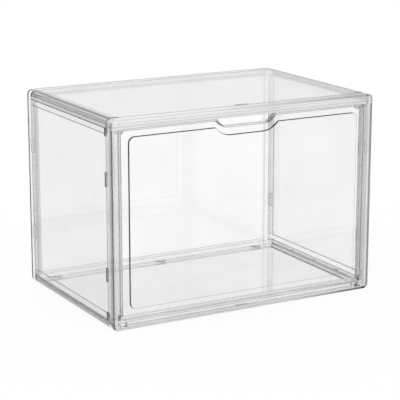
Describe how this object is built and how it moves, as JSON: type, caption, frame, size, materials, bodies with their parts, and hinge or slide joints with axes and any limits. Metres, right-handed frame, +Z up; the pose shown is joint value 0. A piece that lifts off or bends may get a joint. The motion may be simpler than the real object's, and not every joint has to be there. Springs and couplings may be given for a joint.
{
  "type": "stackable storage case",
  "caption": "Clear rectangular display and storage case with snapped panels, a front frame and a drop-front door with a finger notch.",
  "frame": {"origin": "under the middle of the case, on the surface that it stands on", "axes": "+Z up, -Y out of the door side, +X along the longest side, to the right seen from the front"},
  "size_m": [0.345, 0.228, 0.24],
  "materials": {
    "frame_clear_plastic": "clear, moulded, polished",
    "door_clear_plastic": "clear, moulded, polished",
    "panel_clear_plastic": "clear, moulded, polished"
  },
  "bodies": {
    "case": {"front_frame": "frame_clear_plastic", "top_panel": "panel_clear_plastic", "bottom_panel": "panel_clear_plastic", "left_side_panel": "panel_clear_plastic", "right_side_panel": "panel_clear_plastic", "back_panel": "panel_clear_plastic"},
    "door": {"door": "door_clear_plastic"}
  },
  "joints": [
    {"name": "door_hinge", "type": "hinge", "parent": "case", "child": "door", "pos_m": [0, -0.109, 0.0148], "axis": [1, 0, 0], "range_deg": [0, 90]}
  ]
}
